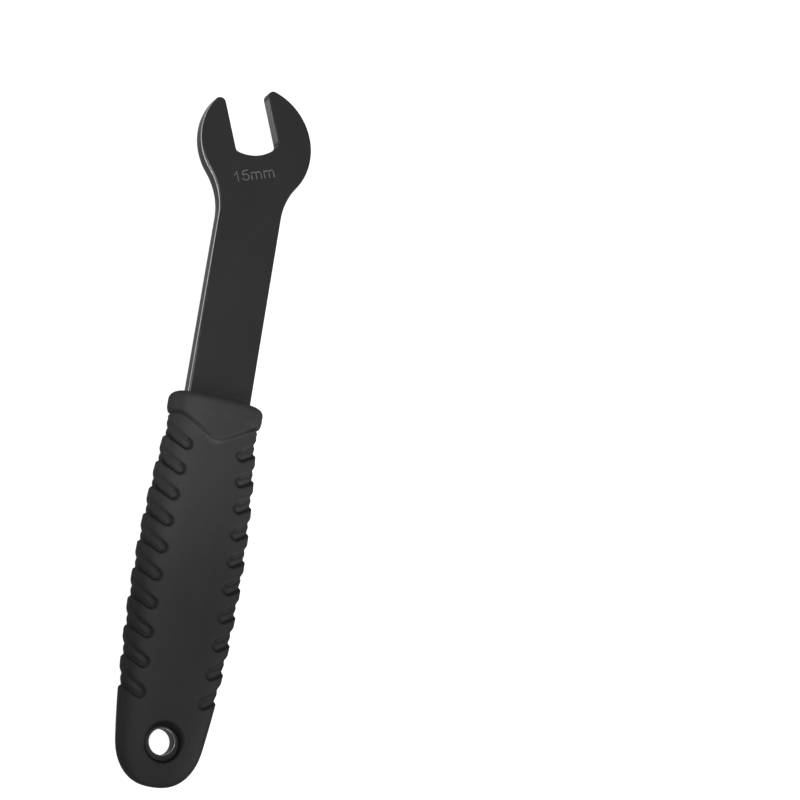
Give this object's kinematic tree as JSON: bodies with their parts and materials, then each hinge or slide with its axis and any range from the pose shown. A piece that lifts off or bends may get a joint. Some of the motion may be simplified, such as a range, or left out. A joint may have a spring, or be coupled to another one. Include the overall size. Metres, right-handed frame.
{
  "type": "pedal wrench",
  "caption": "Long flat open-end wrench with an angled jaw for bicycle pedal axles, a moulded rubber grip with slanted finger channels, and a hang hole.",
  "frame": {"origin": "axis of the hang hole at the middle of the plate thickness", "axes": "+X along the handle towards the jaw, +Y across the handle, +Z out of the front face"},
  "size_m": [0.2258, 0.0382, 0.015],
  "materials": {
    "steel": "satin black coated steel",
    "rubber": "matte moulded rubber"
  },
  "bodies": {
    "root": {"blade": "steel", "grip": "rubber"}
  },
  "joints": []
}
